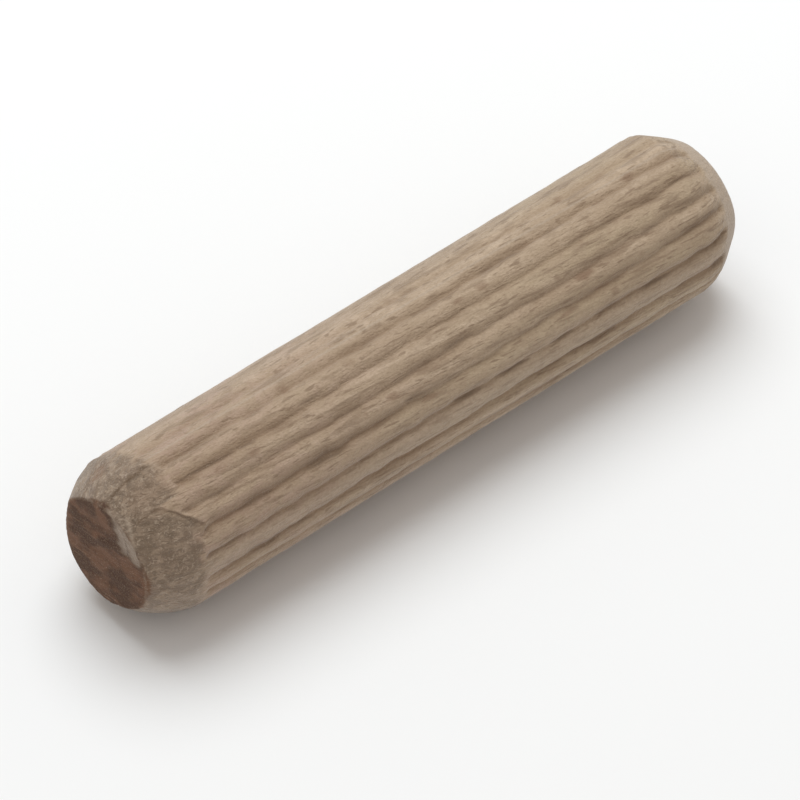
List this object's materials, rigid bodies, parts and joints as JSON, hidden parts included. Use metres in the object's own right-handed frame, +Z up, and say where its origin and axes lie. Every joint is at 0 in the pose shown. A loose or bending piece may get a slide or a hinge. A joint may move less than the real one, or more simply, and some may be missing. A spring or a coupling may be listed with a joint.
{
  "type": "fluted dowel pin",
  "caption": "Straight round wooden pin with shallow flutes along its length and rounded, tapered ends, for pressing and gluing into drilled holes.",
  "frame": {"origin": "under the middle of the pin, at the surface that it rests on", "axes": "+X along the pin's axis, +Z up; the pin lies on two neighbouring ridges"},
  "size_m": [0.035, 0.008, 0.008],
  "materials": {
    "beech": "raw, dry and unsealed, with open pores and fine torn fibres"
  },
  "bodies": {
    "root": {"dowel_pin": "beech"}
  },
  "joints": []
}
